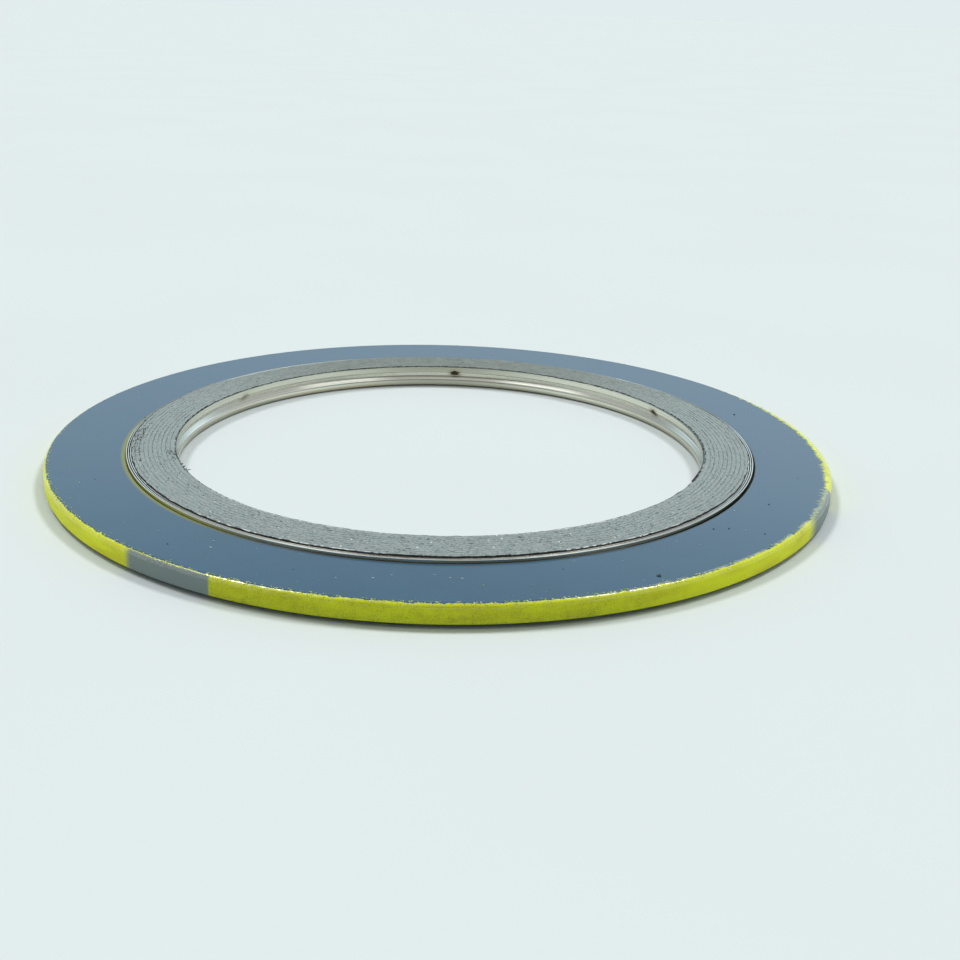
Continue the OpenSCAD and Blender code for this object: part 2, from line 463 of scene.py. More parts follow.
def crown_height(share, seed):
    """Height of the squeezed edge over the middle of the V, at a share of the tape's width."""
    round_off = CROWN_ROUND * abs(2 * share - 1) ** 3 * (1 - 0.6 * front)
    rough = FINE_ROUGH * wander(along, 1.3, seed) + BROAD_ROUGH * wander(along, 3.7, seed + 50)
    return TAPE_TOP - CROWN_SINK - round_off + rough


# the torn walls beside the bare turns stand upright, and the other lips are thin
torn_top = TAPE_TOP - 0.075
thin_top = lip_under + 0.055 + 0.045 * front
lip_top_in = np.where(first_turn, torn_top, thin_top)
lip_top_out = np.where(last_turn, torn_top - 0.14, thin_top)
print(f"walls: {wall_top:.2f} mm above the middle, and torn ones {torn_top:.2f} mm")

# %% Graphite tape outline
UPPER_CROWN = [0.93, 0.76, 0.6, 0.42, 0.25, 0.08]
LOWER_CROWN = [0.1, 0.5, 0.9]
columns = [
    (side_out, -wall_out), (side_out, -bend_out), (room + apex_out, 0), (side_out, bend_out),
    (side_out, wall_out), (side_out + lip_out, under_out), (side_out + lip_out * 0.95, lip_top_out),
]
top_in, top_out = side_in - np.minimum(lip_in, 0), side_out + np.minimum(lip_out, 0)
width = top_out - top_in
columns += [(top_in + width * u, crown_height(u, 200 + i)) for i, u in enumerate(UPPER_CROWN)]
columns += [
    (side_in - lip_in * 0.95, lip_top_in), (side_in - lip_in, under_in),
    (side_in, wall_in), (side_in, bend_in), (apex_in, 0), (side_in, -bend_in), (side_in, -wall_in),
    (side_in - lip_in, -under_in),
]
columns += [(top_in + width * u, -crown_height(u, 300 + i)) for i, u in enumerate(LOWER_CROWN)]
columns += [(side_out + lip_out, -under_out)]
x = np.stack([np.broadcast_to(c[0], along.shape) for c in columns], -1)
z = np.stack([np.broadcast_to(c[1], along.shape) for c in columns], -1)
print("tape outline:", len(columns), "points, on", len(along), "rows")

# %% Graphite tape mesh
# numbers of the outline's points, in the order in which they are listed above
OUTER_WALL, OUTER_LIP, OUTER_CROWN = [0, 1, 3, 4, 24], [5, 6], [7, 8, 9]
INNER_LIP, INNER_WALL = [13, 14], [15, 16, 18, 19, 20]

# mark of the torn walls, which fades over the crown
torn = np.zeros(x.shape)
torn[:, OUTER_WALL + OUTER_LIP] = last_turn[:, None]
torn[:, OUTER_CROWN] = last_turn[:, None] * np.array([0.45, 0.25, 0.1])
torn[:, INNER_LIP + INNER_WALL] = first_turn[:, None]

# mark of the seams, where the lips of two turns nearly meet
seam = np.zeros(x.shape)
seam[:, OUTER_LIP] = ~last_turn[:, None]
seam[:, INNER_LIP] = ~first_turn[:, None]

graphite_tape = loft("graphite_tape", on_spiral(tape_k, tape_a, x, z), closed=False, torn=torn, seam=seam)
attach(graphite_tape, "root")
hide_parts("graphite_filler")

# %% [markdown]
# ## Shader nodes, and a place on the gasket
#
# Every finish here follows the round: paint wraps the rim, scratches run round the axis, and burns sit at
# the welds. So the first node group turns a point into a radius, an angle and a height, in millimetres and
# degrees. Angles run anticlockwise from +X, seen from above. Short helpers keep the node trees readable.

# %% Node helpers
def node(tree, kind, sockets=None, **options):
    """Add a shader node, set its options, and set or link its input sockets."""
    made = tree.nodes.new(kind)
    for name, value in options.items():
        setattr(made, name, value)
    for socket, value in (sockets or {}).items():
        if isinstance(value, bpy.types.NodeSocket):
            tree.links.new(value, made.inputs[socket])
        else:
            made.inputs[socket].default_value = value
    return made


def calc(tree, operation, *values):
    """Math node on sockets or numbers."""
    return node(tree, "ShaderNodeMath", dict(enumerate(values)), operation=operation).outputs[0]


def times(tree, first, second):
    """Product of two sockets or numbers."""
    return calc(tree, "MULTIPLY", first, second)


def plus(tree, first, second):
    """Sum of two sockets or numbers."""
    return calc(tree, "ADD", first, second)


def minus(tree, first, second):
    """First less the second, of two sockets or numbers."""
    return calc(tree, "SUBTRACT", first, second)


def larger(tree, first, second):
    """The larger of two sockets or numbers, which joins two masks."""
    return calc(tree, "MAXIMUM", first, second)


def rise(tree, value, low, high):
    """Smooth step from 0 at low to 1 at high. With low above high it falls instead."""
    sockets = {"Value": value, "From Min": low, "From Max": high}
    return node(tree, "ShaderNodeMapRange", sockets, interpolation_type="SMOOTHSTEP").outputs[0]


def blend(tree, share, below, above):
    """Colour that goes from below to above."""
    return node(tree, "ShaderNodeMix", {0: share, 6: below, 7: above}, data_type="RGBA").outputs[2]


def lay(tree, colour, tone, mask, share):
    """Colour with a tone laid over it where the mask is, up to a share."""
    return blend(tree, times(tree, mask, share), colour, tone)


def noise(tree, place, size, detail=2.0, roughness=0.5):
    """Noise from 0 to 1 with blotches of about the given size."""
    sockets = {"Vector": place, "Scale": 1 / size, "Detail": detail, "Roughness": roughness}
    return node(tree, "ShaderNodeTexNoise", sockets).outputs["Fac"]


def new_group(name, inputs, outputs):
    """Empty node group with float sockets, and its input and output nodes."""
    tree = bpy.data.node_groups.new(name, "ShaderNodeTree")
    for label, value in inputs.items():
        tree.interface.new_socket(label, in_out="INPUT", socket_type="NodeSocketFloat").default_value = value
    for label, kind in outputs.items():
        tree.interface.new_socket(label, in_out="OUTPUT", socket_type=kind)
    return tree, tree.nodes.new("NodeGroupInput").outputs, tree.nodes.new("NodeGroupOutput").inputs


def use(tree, group, **values):
    """Place a node group in a tree and give its inputs their values."""
    placed = node(tree, "ShaderNodeGroup", node_tree=group)
    for label, value in values.items():
        socket = placed.inputs[label.replace("_", " ")]
        if isinstance(value, bpy.types.NodeSocket):
            tree.links.new(value, socket)
        else:
            socket.default_value = value
    return placed.outputs


# %% Group: place on the gasket
place_group, _, out = new_group("Place on the gasket", {}, {
    "Point": "NodeSocketVector", "Radius": "NodeSocketFloat",
    "Angle": "NodeSocketFloat", "Height": "NodeSocketFloat"})
tree = place_group
point = node(tree, "ShaderNodeVectorMath", {
    0: node(tree, "ShaderNodeTexCoord").outputs["Object"], "Scale": 1 / MM}, operation="SCALE").outputs[0]
axes = node(tree, "ShaderNodeSeparateXYZ", {0: point}).outputs
flat = node(tree, "ShaderNodeCombineXYZ", {0: axes["X"], 1: axes["Y"]}).outputs[0]
length = node(tree, "ShaderNodeVectorMath", {0: flat}, operation="LENGTH").outputs["Value"]
turned = calc(tree, "DEGREES", calc(tree, "ARCTAN2", axes["Y"], axes["X"]))
tree.links.new(point, out["Point"])
tree.links.new(length, out["Radius"])
tree.links.new(calc(tree, "FLOORED_MODULO", turned, 360.0), out["Angle"])
tree.links.new(axes["Z"], out["Height"])
print("group:", tree.name, "with", len(tree.nodes), "nodes")

# %% [markdown]
# ## Streaks and specks
#
# Two effects come back in several finishes. Streaks run round the axis: rolling lines on the steel, lines
# of flake on the graphite. They are noise on a stretched place, with the direction blown up to a circle, so
# that there is no seam. Specks are the small cells of a Voronoi texture, of which only a share is kept:
# pits, dust and spray.

# %% Group: streaks round the axis
streak_group, given, out = new_group(
    "Streaks round the axis", {"Length": 2.0, "Width": 0.2, "Detail": 2.0}, {"Value": "NodeSocketFloat"})
tree = streak_group
spot = use(tree, place_group)
swing = calc(tree, "RADIANS", spot["Angle"])
circle = calc(tree, "DIVIDE", MEAN_R, given["Length"])
rings = calc(tree, "DIVIDE", plus(tree, spot["Radius"], times(tree, spot["Height"], 0.7)), given["Width"])
stretched = node(tree, "ShaderNodeCombineXYZ", {
    0: times(tree, calc(tree, "COSINE", swing), circle),
    1: times(tree, calc(tree, "SINE", swing), circle),
    2: rings}).outputs[0]
lines = node(tree, "ShaderNodeTexNoise", {"Vector": stretched, "Scale": 1.0, "Detail": given["Detail"]})
tree.links.new(lines.outputs["Fac"], out["Value"])
print("group:", tree.name, "with", len(tree.nodes), "nodes")

# %% Group: scattered specks
speck_group, given, out = new_group(
    "Scattered specks", {"Spacing": 1.0, "Size": 0.15, "Share": 0.3}, {"Mask": "NodeSocketFloat"})
tree = speck_group
spot = use(tree, place_group)
cells = node(tree, "ShaderNodeTexVoronoi", {
    "Vector": spot["Point"], "Scale": calc(tree, "DIVIDE", 1.0, given["Spacing"])})
chance = node(tree, "ShaderNodeSeparateColor", {0: cells.outputs["Color"]}).outputs
kept = calc(tree, "LESS_THAN", chance["Red"], given["Share"])
own_size = times(tree, given["Size"], plus(tree, 0.5, chance["Green"]))
distance = times(tree, cells.outputs["Distance"], given["Spacing"])
inside = rise(tree, calc(tree, "DIVIDE", distance, own_size), 1.0, 0.6)
tree.links.new(times(tree, kept, inside), out["Mask"])
print("group:", tree.name, "with", len(tree.nodes), "nodes")


# %% Group: window of angles
window_group, given, out = new_group(
    "Window of angles", {"Angle": 0.0, "From": 0.0, "To": 90.0, "Fade": 2.0}, {"Mask": "NodeSocketFloat"})
tree = window_group
half = times(tree, minus(tree, given["To"], given["From"]), 0.5)
middle = times(tree, plus(tree, given["To"], given["From"]), 0.5)
off = calc(tree, "ABSOLUTE", calc(tree, "WRAP", minus(tree, given["Angle"], middle), 180.0, -180.0))
half_fade = times(tree, given["Fade"], 0.5)
fully_in = times(tree, given["Fade"], -0.5)
tree.links.new(rise(tree, minus(tree, off, half), half_fade, fully_in), out["Mask"])
print("group:", tree.name, "with", len(tree.nodes), "nodes")


def window(tree, angle, start, end, fade):
    """Mask of the angles from start to end in degrees, with soft ends."""
    return use(tree, window_group, Angle=angle, From=start, To=end, Fade=fade)["Mask"]


# %% Start of a material
def new_material(name):
    """Material with a Principled BSDF, and its tree and shader."""
    material = bpy.data.materials.new(name)
    material.use_nodes = True
    tree = material.node_tree
    tree.nodes.clear()
    shader = node(tree, "ShaderNodeBsdfPrincipled")
    tree.links.new(shader.outputs[0], node(tree, "ShaderNodeOutputMaterial").inputs["Surface"])
    return material, tree, shader


def tell(step, tree):
    """Print how far a node tree has grown."""
    print(f"{step}: {len(tree.nodes)} nodes so far")


# %% [markdown]
# ## Ring paint
#
# The faces carry a smooth blue-grey coat with a gloss on it, a little cloudy. The rim was sprayed yellow
# afterwards with the rings in a stack, so the yellow wraps the rounded edge, stops raggedly on the faces
# and leaves droplets there. Short grey stripes were sprayed across the stack and mark the filler. Masks
# stand for the coats in the order they went on, and two more paint shade: on the front of the rim and at
# the inner edge. The gloss is the shader's coat layer: full on the blue, thin on the dusty spray, so one
# material holds both.

# %% Ring paint: the blue coat
BLUE = (0.017, 0.081, 0.154, 1)
BLUE_PALE = (0.022, 0.092, 0.169, 1)
DUST = (0.42, 0.46, 0.47, 1)
ring_paint, tree, shader = new_material("ring_paint")
spot = use(tree, place_group)
clouds = noise(tree, spot["Point"], 11.0, 3.0)
colour = blend(tree, rise(tree, clouds, 0.3, 0.7), BLUE, BLUE_PALE)
dust = use(tree, speck_group, Spacing=1.9, Size=0.13, Share=0.2)["Mask"]
colour = lay(tree, colour, DUST, dust, 0.35)
tell("blue coat", tree)

# %% Ring paint: edge of the spray
ragged = noise(tree, spot["Point"], 0.34, 2.0, 0.6)
slow_edge = noise(tree, spot["Point"], 3.1, 1.0)
brushed = use(tree, streak_group, Length=0.22, Width=2.5, Detail=1.0)["Value"]
brush_window = window(tree, spot["Angle"], 325.0, 395.0, 24.0)
brushed = times(tree, minus(tree, brushed, 0.42), times(tree, brush_window, 2.6))
edge_radius = plus(tree, spot["Radius"], times(tree, minus(tree, ragged, 0.5), 0.7))
edge_radius = plus(tree, edge_radius, times(tree, minus(tree, slow_edge, 0.5), 0.35))
edge_radius = plus(tree, edge_radius, brushed)

# the spray is narrower behind and on the left, and wider on the right
EDGE_SHIFTS = ((30.0, 176.0, 30.0, -0.22), (165.0, 212.0, 20.0, -0.12), (338.0, 384.0, 18.0, 0.45))
for start, end, fade, shift in EDGE_SHIFTS:
    shift_window = window(tree, spot["Angle"], start, end, fade)
    edge_radius = plus(tree, edge_radius, times(tree, shift_window, shift))
tell("edge of the spray", tree)

# %% Ring paint: haze of dry spray
# it lies inside the edge on the right
HAZE = (0.40, 0.46, 0.46, 1)
HAZE_REACH = (73.45, 73.95)
haze_window = window(tree, spot["Angle"], 294.0, 352.0, 26.0)
haze = times(tree, rise(tree, edge_radius, *HAZE_REACH), haze_window)
haze = times(tree, haze, rise(tree, slow_edge, 0.35, 0.6))
colour = lay(tree, colour, HAZE, haze, 0.75)
tell("haze", tree)

# %% Ring paint: yellow rim
YELLOW = (0.85, 0.92, 0.004, 1)
YELLOW_DEEP = (0.75, 0.75, 0.003, 1)
SPRAY_EDGE, SPATTER_REACH, HOLE_REACH = (74.04, 74.14), (73.35, 73.95), (74.75, 74.2)
front_window = window(tree, spot["Angle"], 236.0, 304.0, 24.0)
sprayed = rise(tree, edge_radius, *SPRAY_EDGE)
spray_share = plus(tree, 0.34, times(tree, front_window, 0.2))
spray = use(tree, speck_group, Spacing=0.42, Size=0.16, Share=spray_share)["Mask"]
spray = times(tree, spray, rise(tree, edge_radius, *SPATTER_REACH))
sprayed = larger(tree, sprayed, spray)
hole_share = plus(tree, 0.3, times(tree, front_window, 0.3))
holes = use(tree, speck_group, Spacing=0.3, Size=0.11, Share=hole_share)["Mask"]
holes = times(tree, holes, rise(tree, edge_radius, *HOLE_REACH))
sprayed = minus(tree, sprayed, times(tree, times(tree, holes, sprayed), 0.75))
patchy = use(tree, streak_group, Length=7.0, Width=1.3, Detail=2.0)["Value"]
yellow = blend(tree, rise(tree, patchy, 0.35, 0.72), YELLOW, YELLOW_DEEP)
tell("yellow rim", tree)

# %% Ring paint: painted shade and grime on the front of the rim
# painted shade darkens the front of the rim, most low down, and grime specks it there
YELLOW_SHADED = (0.42, 0.50, 0.003, 1)
GRIME = (0.075, 0.105, 0.010, 1)
shade_and_grime_window = window(tree, spot["Angle"], 236.0, 298.0, 26.0)
grains = noise(tree, spot["Point"], 0.17, 3.0, 0.75)
low_down = rise(tree, spot["Height"], 7.0, 0.6)
shade_and_grime = times(tree, shade_and_grime_window, low_down)
patches = minus(tree, noise(tree, spot["Point"], 1.6, 2.0), 0.5)
speckle = plus(tree, grains, times(tree, patches, 0.3))
grime = times(tree, rise(tree, speckle, 0.45, 0.68), shade_and_grime)
yellow = lay(tree, yellow, YELLOW_SHADED, shade_and_grime, 0.5)
yellow = lay(tree, yellow, GRIME, grime, 0.55)
colour = blend(tree, sprayed, colour, yellow)
tell("grime", tree)

# %% Ring paint: grey stripes
STRIPE_GREY = (0.208, 0.262, 0.275, 1)
STRIPE_EDGE = (74.16, 74.28)
STRIPES = ((229.8, 242.9, 1.5), (328.0, 340.4, 4.0), (58.0, 70.5, 2.5), (146.0, 158.5, 2.0))
fuzz = times(tree, minus(tree, noise(tree, spot["Point"], 0.3, 2.0), 0.5), 1.1)
fuzzy_angle = plus(tree, spot["Angle"], fuzz)
stripes = None
for start, end, fade in STRIPES:
    soft = window(tree, fuzzy_angle, start, end + 3, fade)
    crisp = window(tree, spot["Angle"], start - 3, end, 0.4)
    stripe = times(tree, soft, crisp)
    stripes = stripe if stripes is None else larger(tree, stripes, stripe)
stripes = times(tree, stripes, rise(tree, edge_radius, *STRIPE_EDGE))
colour = lay(tree, colour, STRIPE_GREY, stripes, 0.97)
tell("grey stripes", tree)

# %% Ring paint: inner edge
# painted shade: a dark line at the gap to the winding, and dark down the bore; on the left the edge is olive
# yellow paint instead
EDGE_SHADE = (0.045, 0.050, 0.042, 1)
OLIVE = (0.27, 0.28, 0.05, 1)
BORE_SHADE = (0.05, 0.048, 0.042, 1)
ragged_in = plus(tree, spot["Radius"], times(tree, minus(tree, ragged, 0.5), 0.3))
inner_edge = rise(tree, ragged_in, RING_BORE_R + 0.2, RING_BORE_R + 0.08)
olive_window = window(tree, spot["Angle"], 172.0, 232.0, 26.0)
edge_colour = blend(tree, olive_window, EDGE_SHADE, OLIVE)
colour = blend(tree, inner_edge, colour, edge_colour)
tint = times(tree, rise(tree, ragged_in, RING_BORE_R + 0.75, RING_BORE_R + 0.15), olive_window)
colour = lay(tree, colour, OLIVE, tint, 0.45)
down_the_bore = rise(tree, spot["Height"], 3.85, 3.55)
in_bore = times(tree, rise(tree, spot["Radius"], RING_BORE_R + 1.0, RING_BORE_R + 0.8), down_the_bore)
colour = blend(tree, in_bore, colour, BORE_SHADE)
tree.links.new(colour, shader.inputs["Base Color"])
tell("inner edge", tree)

# %% Ring paint: gloss and texture
peel = noise(tree, spot["Point"], 0.5, 2.0)
shine = plus(tree, 0.34, times(tree, minus(tree, clouds, 0.5), 0.12))
shine = plus(tree, shine, times(tree, larger(tree, sprayed, grime), 0.2))
tree.links.new(shine, shader.inputs["Roughness"])
shader.inputs["Specular IOR Level"].default_value = 0.1

# gloss on the blue, and on the rounding of the rim where the spray ran together
rounding = times(tree, rise(tree, spot["Height"], 3.15, 3.4), rise(tree, peel, 0.38, 0.52))
on_spray = plus(tree, 0.14, times(tree, rounding, 0.86))
dry = larger(tree, larger(tree, haze, dust), larger(tree, in_bore, inner_edge))
on_blue = minus(tree, 0.6, times(tree, dry, 0.45))
gloss = node(tree, "ShaderNodeMix", {0: sprayed, 2: on_blue, 3: on_spray}, data_type="FLOAT").outputs[0]
tree.links.new(gloss, shader.inputs["Coat Weight"])
shader.inputs["Coat Roughness"].default_value = 0.18
shader.inputs["Coat IOR"].default_value = 1.9
peel_relief = times(tree, sprayed, plus(tree, 0.5, times(tree, peel, 0.5)))
coat_relief = times(tree, noise(tree, spot["Point"], 1.6, 2.0), 0.12)
relief = plus(tree, peel_relief, coat_relief)
bump = node(tree, "ShaderNodeBump", {"Height": relief, "Distance": 0.04 * MM, "Strength": 0.9})
tree.links.new(bump.outputs[0], shader.inputs["Normal"])
tree.links.new(bump.outputs[0], shader.inputs["Coat Normal"])
guide_ring.data.materials.append(ring_paint)
print("ring_paint:", len(tree.nodes), "nodes")

# %% [markdown]
# ## Strip steel
#
# The strip is cold rolled stainless, bright and slightly straw coloured. Rolling leaves fine lines along
# its length, and the bends are dull and dirty. Welding has burnt a brown patch round each mark on the upper
# flank of the bore. Metal shows its surroundings, so most of the look comes from roughness. The colour also
# carries painted shade on the lands behind, low down and in the gaps, and a painted brown reflection in
# front.

# %% Strip steel: rolled bore and bare turns
FLANK = (0.95, 0.95, 0.875, 1)
LAND = (0.80, 0.80, 0.68, 1)
LAND_SHADED = (0.43, 0.43, 0.345, 1)
BROAD_LINE = (0.36, 0.355, 0.28, 1)
FINE_LINE = (0.28, 0.275, 0.21, 1)
LOW_LAND_SHADE = (0.25, 0.225, 0.14, 1)
STRAW = (0.64, 0.50, 0.32, 1)
BEND_DIRT = (0.15, 0.14, 0.10, 1)
strip_steel, tree, shader = new_material("strip_steel")
spot = use(tree, place_group)
half_turn = node(tree, "ShaderNodeAttribute", attribute_name="half_turn").outputs["Fac"]
in_gap = node(tree, "ShaderNodeAttribute", attribute_name="in_gap").outputs["Fac"]
fine = use(tree, streak_group, Length=40.0, Width=0.06, Detail=3.0)["Value"]
broad = use(tree, streak_group, Length=90.0, Width=0.34, Detail=1.0)["Value"]
above_middle = calc(tree, "ABSOLUTE", minus(tree, spot["Height"], MID_Z))
land = rise(tree, above_middle, VEE_HALF - 0.05, VEE_HALF + 0.2)
# painted shade: the lands at the back of the bore are darker
shaded_land_window = window(tree, spot["Angle"], 70.0, 110.0, 36.0)
land_tone = blend(tree, shaded_land_window, LAND, LAND_SHADED)
colour = blend(tree, land, FLANK, land_tone)
colour = lay(tree, colour, BROAD_LINE, rise(tree, broad, 0.32, 0.68), 0.35)
colour = lay(tree, colour, FINE_LINE, rise(tree, fine, 0.5, 0.68), 0.5)
# painted shade: the strip is darker towards its bottom, where it mirrors the shaded floor
low_land_shade = rise(tree, spot["Height"], 1.1, 0.2)
colour = lay(tree, colour, LOW_LAND_SHADE, low_land_shade, 0.72)
brown_window = window(tree, spot["Angle"], 106.0, 134.0, 16.0)
colour = lay(tree, colour, STRAW, times(tree, low_land_shade, brown_window), 0.5)

# dull lines along the bends and along the point of the V
DULL_WIDTH = (0.10, 0.03)
off_bend = calc(tree, "ABSOLUTE", minus(tree, above_middle, VEE_HALF + 0.02))
bend_line = rise(tree, off_bend, *DULL_WIDTH)
apex_line = rise(tree, above_middle, *DULL_WIDTH)
dull = larger(tree, bend_line, times(tree, apex_line, 0.8))
colour = lay(tree, colour, BEND_DIRT, dull, 0.5)
tell("rolled bore", tree)

# %% Strip steel: edges of the turns
BRIGHT_EDGE = (0.95, 0.94, 0.89, 1)
SMEAR = (0.33, 0.375, 0.37, 1)
smear_noise = noise(tree, spot["Point"], 0.5, 2.0)
on_edge = node(tree, "ShaderNodeAttribute", attribute_name="on_edge").outputs["Fac"]
edge_top = rise(tree, on_edge, 0.5, 0.8)
bright_window = window(tree, spot["Angle"], 176.0, 372.0, 20.0)
outermost = rise(tree, half_turn, 22.6, 22.9)
bright = times(tree, outermost, bright_window)
colour = blend(tree, times(tree, edge_top, bright), colour, BRIGHT_EDGE)

# graphite smeared over all edges but the bright ones
smear = times(tree, edge_top, minus(tree, 1.0, bright))
smeared = times(tree, smear, rise(tree, smear_noise, 0.15, 0.4))
colour = blend(tree, smeared, colour, SMEAR)
tell("edges of the turns", tree)

# %% Strip steel: painted reflection and shade
# painted brown reflection on the first bare turn in front, and painted black shade in the gaps and at the
# start of the strip
BROWN_REFLECTION = (0.10, 0.075, 0.055, 1)
GAP_SHADE = (0.020, 0.019, 0.017, 1)
front_window = window(tree, spot["Angle"], 250.0, 292.0, 24.0)
first_bare = times(tree, outermost, rise(tree, half_turn, 24.6, 24.2))
brown = times(tree, times(tree, first_bare, front_window), rise(tree, smear_noise, 0.2, 0.5))
colour = lay(tree, colour, BROWN_REFLECTION, brown, 0.6)
# painted shade: near black in the gaps between turns and at the start of the strip
gap_shade = times(tree, in_gap, rise(tree, on_edge, 0.52, 0.47))
start_window = window(tree, spot["Angle"], 333.0, 339.6, 1.5)
first_turns = rise(tree, half_turn, 2.5, 1.5)
near_edge = rise(tree, above_middle, STRIP_TOP - 0.5, STRIP_TOP - 0.25)
at_start = times(tree, start_window, times(tree, first_turns, near_edge))
gap_and_start_shade = larger(tree, gap_shade, at_start)
colour = lay(tree, colour, GAP_SHADE, gap_and_start_shade, 0.92)
tell("gap_and_start_shade", tree)

# %% Strip steel: burns round the weld marks
BURN_HALO = (0.36, 0.26, 0.17, 1)
BURN = (0.030, 0.022, 0.014, 1)
BURN_WIDE, BURN_HIGH = 1.2, 0.75
every = calc(tree, "WRAP", minus(tree, spot["Angle"], WELD_ANGLES[0]), 30.0, -30.0)
sideways = calc(tree, "ABSOLUTE", times(tree, every, math.radians(BORE_R)))
upwards = minus(tree, spot["Height"], MID_Z + VEE_HALF / 2 + 0.25)
wide = calc(tree, "DIVIDE", sideways, BURN_WIDE)
high = calc(tree, "ABSOLUTE", calc(tree, "DIVIDE", upwards, BURN_HIGH))
off_weld = calc(tree, "SQRT", plus(tree, calc(tree, "POWER", wide, 2.0), calc(tree, "POWER", high, 2.0)))
frayed = plus(tree, off_weld, minus(tree, noise(tree, spot["Point"], 0.35, 2.0), 0.5))
faint_window = window(tree, spot["Angle"], 137.0, 157.0, 4.0)
strength = minus(tree, 1.0, times(tree, faint_window, 0.6))
in_bore = times(tree, rise(tree, half_turn, 1.9, 1.6), strength)
burn = times(tree, rise(tree, frayed, 1.05, 0.65), in_bore)
halo = times(tree, rise(tree, frayed, 1.9, 0.9), in_bore)
colour = lay(tree, colour, BURN_HALO, halo, 0.5)
colour = lay(tree, colour, BURN, burn, 0.95)
tree.links.new(colour, shader.inputs["Base Color"])
shader.inputs["Metallic"].default_value = 1.0
tell("burns", tree)

# %% Strip steel: sheen
sheen = plus(tree, 0.13, times(tree, fine, 0.16))
sheen = plus(tree, sheen, times(tree, larger(tree, dull, burn), 0.3))
sheen = plus(tree, sheen, times(tree, larger(tree, smear, gap_and_start_shade), 0.3))
tree.links.new(sheen, shader.inputs["Roughness"])
bump = node(tree, "ShaderNodeBump", {"Height": fine, "Distance": 0.0025 * MM, "Strength": 0.8})
tree.links.new(bump.outputs[0], shader.inputs["Normal"])
winding_strip.data.materials.append(strip_steel)
print("strip_steel:", len(tree.nodes), "nodes")

# %% [markdown]
# ## Graphite
#
# Pressed flake graphite is a soft metallic grey. Its edge is torn rather than cut, with fine broken lines
# along the tape, small pits that look black, and flakes that lie at an angle and glint. The pits and lines
# are in the colour and in the bump; the shade of the pits, seams and torn walls is painted in dark, and the
# glints are painted near-white specks with a little less roughness.

# %% Graphite: flakes and grain
FLAKE, FLAKE_PALE = (0.305, 0.359, 0.354, 1), (0.400, 0.462, 0.453, 1)
GRAIN_DARK, GRAIN_PALE = (0.12, 0.142, 0.14, 1), (0.60, 0.66, 0.65, 1)
graphite, tree, shader = new_material("graphite")
spot = use(tree, place_group)
lines = use(tree, streak_group, Length=1.2, Width=0.13, Detail=3.0)["Value"]
grain = noise(tree, spot["Point"], 0.24, 3.0, 0.7)
colour = blend(tree, rise(tree, lines, 0.32, 0.68), FLAKE, FLAKE_PALE)
colour = lay(tree, colour, GRAIN_DARK, rise(tree, grain, 0.46, 0.64), 0.38)
colour = lay(tree, colour, GRAIN_PALE, rise(tree, grain, 0.46, 0.30), 0.38)
tell("grain", tree)

# %% Graphite: front and back
# in front the flakes lie along the tape, and the back is darkened with painted shade
LINE_DARK, LINE_PALE = (0.13, 0.146, 0.143, 1), (0.56, 0.61, 0.60, 1)
BACK_SHADE, BLOTCH = (0.225, 0.250, 0.230, 1), (0.40, 0.43, 0.41, 1)
front_window = window(tree, spot["Angle"], 215.0, 325.0, 50.0)
flaky = use(tree, streak_group, Length=0.5, Width=0.15, Detail=2.0)["Value"]
dark_flakes = times(tree, rise(tree, flaky, 0.48, 0.66), front_window)
pale_flakes = times(tree, rise(tree, flaky, 0.44, 0.30), front_window)
colour = lay(tree, colour, LINE_DARK, dark_flakes, 0.55)
colour = lay(tree, colour, LINE_PALE, pale_flakes, 0.4)
back_window = window(tree, spot["Angle"], 45.0, 135.0, 60.0)
colour = lay(tree, colour, BACK_SHADE, back_window, 0.75)
blotches = noise(tree, spot["Point"], 2.4, 2.0)
colour = lay(tree, colour, BLOTCH, rise(tree, blotches, 0.4, 0.7), 0.25)
tell("front and back", tree)

# %% Graphite: seams
# painted shade in the seams: broken dark lines, faint in front
SEAM_SHADE = (0.035, 0.038, 0.036, 1)
seam = node(tree, "ShaderNodeAttribute", attribute_name="seam").outputs["Fac"]
broken = use(tree, streak_group, Length=1.1, Width=0.8, Detail=2.0)["Value"]
plain_window = window(tree, spot["Angle"], 203.0, 328.0, 40.0)
seam_share = minus(tree, 0.68, times(tree, plain_window, 0.58))
seam_share = minus(tree, seam_share, times(tree, back_window, 0.25))
open_seam = times(tree, rise(tree, seam, 0.45, 0.95), rise(tree, broken, 0.45, 0.57))
colour = blend(tree, times(tree, open_seam, seam_share), colour, SEAM_SHADE)
tell("seams", tree)

# %% Graphite: pits
# pits painted near black as shade, in dark dashes, more of them in two worn patches on the left
PIT_SHADE = (0.018, 0.018, 0.018, 1)
dashes = use(tree, streak_group, Length=0.8, Width=0.15, Detail=1.5)["Value"]
worn_window = window(tree, spot["Angle"], 178.0, 197.0, 8.0)
worn_patch = times(tree, worn_window, rise(tree, spot["Radius"], 56.8, 57.8))
bore_window = window(tree, spot["Angle"], 193.5, 201.0, 3.0)
bore_patch = times(tree, bore_window, rise(tree, spot["Radius"], 53.0, 52.3))
worn_patch = larger(tree, worn_patch, bore_patch)
dash_level = plus(tree, dashes, times(tree, worn_patch, 0.11))
pits = rise(tree, plus(tree, dash_level, times(tree, front_window, 0.015)), 0.665, 0.71)
colour = blend(tree, pits, colour, PIT_SHADE)
tell("pits", tree)

